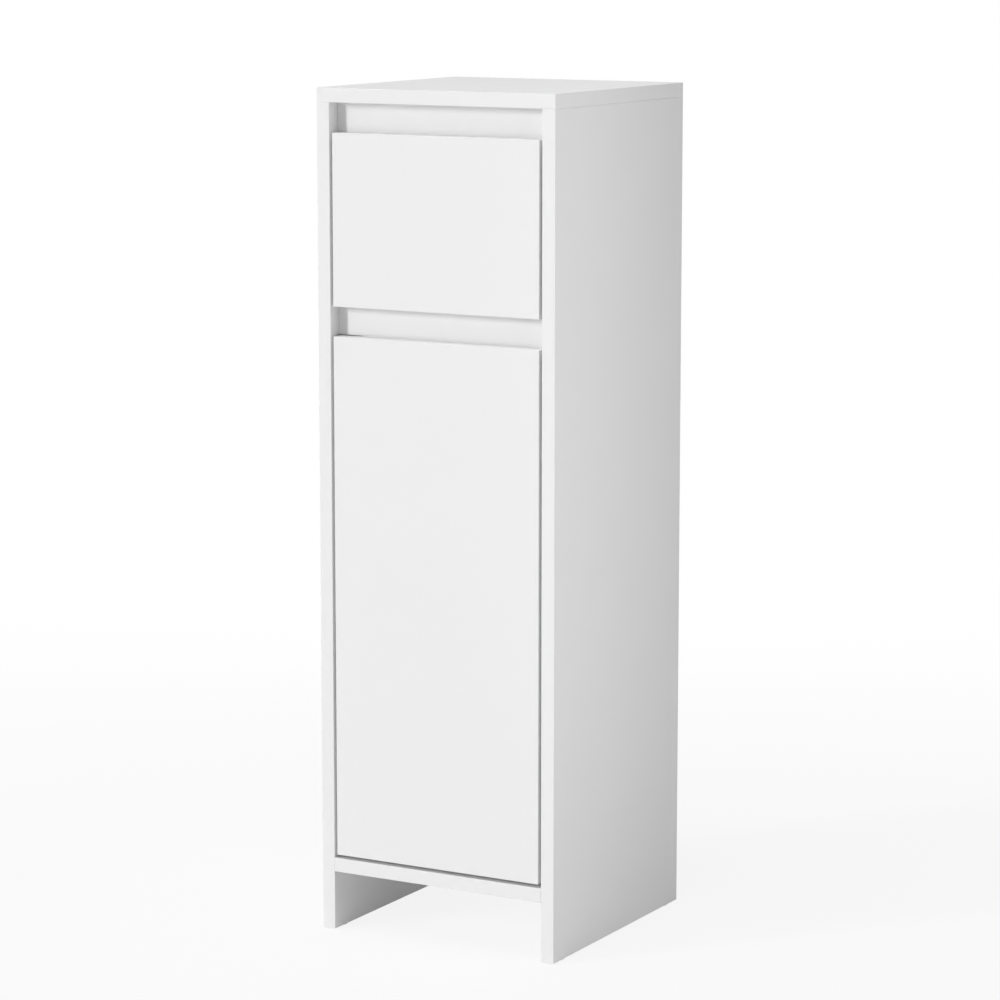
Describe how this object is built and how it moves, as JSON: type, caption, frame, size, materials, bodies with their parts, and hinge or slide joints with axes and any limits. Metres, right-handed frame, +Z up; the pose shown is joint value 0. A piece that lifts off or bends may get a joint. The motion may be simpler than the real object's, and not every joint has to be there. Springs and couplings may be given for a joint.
{
  "type": "mid-height bathroom cabinet",
  "caption": "White mid-height bathroom cabinet on panel legs: an inset drawer above an inset hinged door, each with a recessed finger channel over it, and a shelf inside.",
  "frame": {"origin": "on the floor at the middle of the cabinet's footprint", "axes": "+X to the right seen from the front, the front faces -Y, +Z up"},
  "size_m": [0.298, 0.3, 0.95],
  "materials": {
    "white_board": "particle board with a smooth white melamine face and matching edge band, satin",
    "white_sheet": "thin hardboard with a white printed face, satin, and a raw brown rear face",
    "white_enamel": "cold-rolled steel with a white powder coat, satin",
    "zinc_steel": "zinc-plated pressed steel, satin",
    "nickel_steel": "nickel-plated pressed steel, satin",
    "cast_zinc": "die-cast zinc, dull",
    "white_nylon": "moulded white nylon",
    "beech": "plain beech dowel",
    "clear_silicone": "soft clear silicone button"
  },
  "bodies": {
    "carcass": {"left_side_panel": "white_board", "right_side_panel": "white_board", "top_panel": "white_board", "bottom_panel": "white_board", "divider_panel": "white_board", "upper_grip_rail": "white_board", "middle_grip_rail": "white_board", "shelf": "white_board", "back_panel": "white_sheet", "left_runner_rail": "white_enamel", "right_runner_rail": "white_enamel", "runner_rail_screws": "zinc_steel", "cam_bolts": "zinc_steel", "wall_bracket": "zinc_steel", "wall_bracket_screws": "zinc_steel", "door_stop_screw": "zinc_steel", "shelf_pins": "zinc_steel", "upper_hinge_arm": "nickel_steel", "lower_hinge_arm": "nickel_steel", "upper_hinge_plate": "nickel_steel", "lower_hinge_plate": "nickel_steel", "hinge_plate_screws": "nickel_steel", "hinge_adjusting_screws": "nickel_steel", "cam_locks": "cast_zinc", "cam_cover_caps": "white_nylon", "door_stop": "white_nylon", "foot_glides": "white_nylon", "carcass_dowels": "beech", "door_bumper": "clear_silicone"},
    "drawer": {"drawer_front": "white_board", "drawer_left_side": "white_board", "drawer_right_side": "white_board", "drawer_back": "white_board", "drawer_bottom": "white_sheet", "left_drawer_runner": "white_enamel", "right_drawer_runner": "white_enamel", "drawer_runner_screws": "zinc_steel", "drawer_cam_locks": "cast_zinc", "drawer_cam_bolts": "zinc_steel", "drawer_dowels": "beech", "drawer_back_screws": "zinc_steel", "drawer_bumpers": "clear_silicone"},
    "door": {"door_panel": "white_board", "upper_hinge_cup": "nickel_steel", "lower_hinge_cup": "nickel_steel", "hinge_pins": "nickel_steel", "hinge_cup_screws": "nickel_steel"},
    "front_left_roller": {"front_left_roller": "white_nylon"},
    "front_right_roller": {"front_right_roller": "white_nylon"},
    "rear_left_roller": {"rear_left_roller": "white_nylon"},
    "rear_right_roller": {"rear_right_roller": "white_nylon"}
  },
  "joints": [
    {"name": "drawer_slide", "type": "slide", "parent": "carcass", "child": "drawer", "axis": [0, -1, 0], "range_m": [0, 0.185]},
    {"name": "door_hinge", "type": "hinge", "parent": "carcass", "child": "door", "pos_m": [-0.1175, -0.142, 0.3825], "axis": [0, 0, -1], "range_deg": [0, 95]},
    {"name": "front_left_roller_spin", "type": "hinge", "parent": "carcass", "child": "front_left_roller", "pos_m": [-0.1268, -0.121, 0.735], "axis": [1, 0, 0], "continuous": true},
    {"name": "front_right_roller_spin", "type": "hinge", "parent": "carcass", "child": "front_right_roller", "pos_m": [0.1268, -0.121, 0.735], "axis": [1, 0, 0], "continuous": true},
    {"name": "rear_left_roller_spin", "type": "hinge", "parent": "drawer", "child": "rear_left_roller", "pos_m": [-0.1267, 0.105, 0.7338], "axis": [1, 0, 0], "continuous": true},
    {"name": "rear_right_roller_spin", "type": "hinge", "parent": "drawer", "child": "rear_right_roller", "pos_m": [0.1267, 0.105, 0.7338], "axis": [1, 0, 0], "continuous": true}
  ],
  "couplings": [
    {"joint": "front_left_roller_spin", "follows": "drawer_slide", "rad_per_m": 117.65},
    {"joint": "front_right_roller_spin", "follows": "drawer_slide", "rad_per_m": 117.65},
    {"joint": "rear_left_roller_spin", "follows": "drawer_slide", "rad_per_m": 117.65},
    {"joint": "rear_right_roller_spin", "follows": "drawer_slide", "rad_per_m": 117.65}
  ]
}
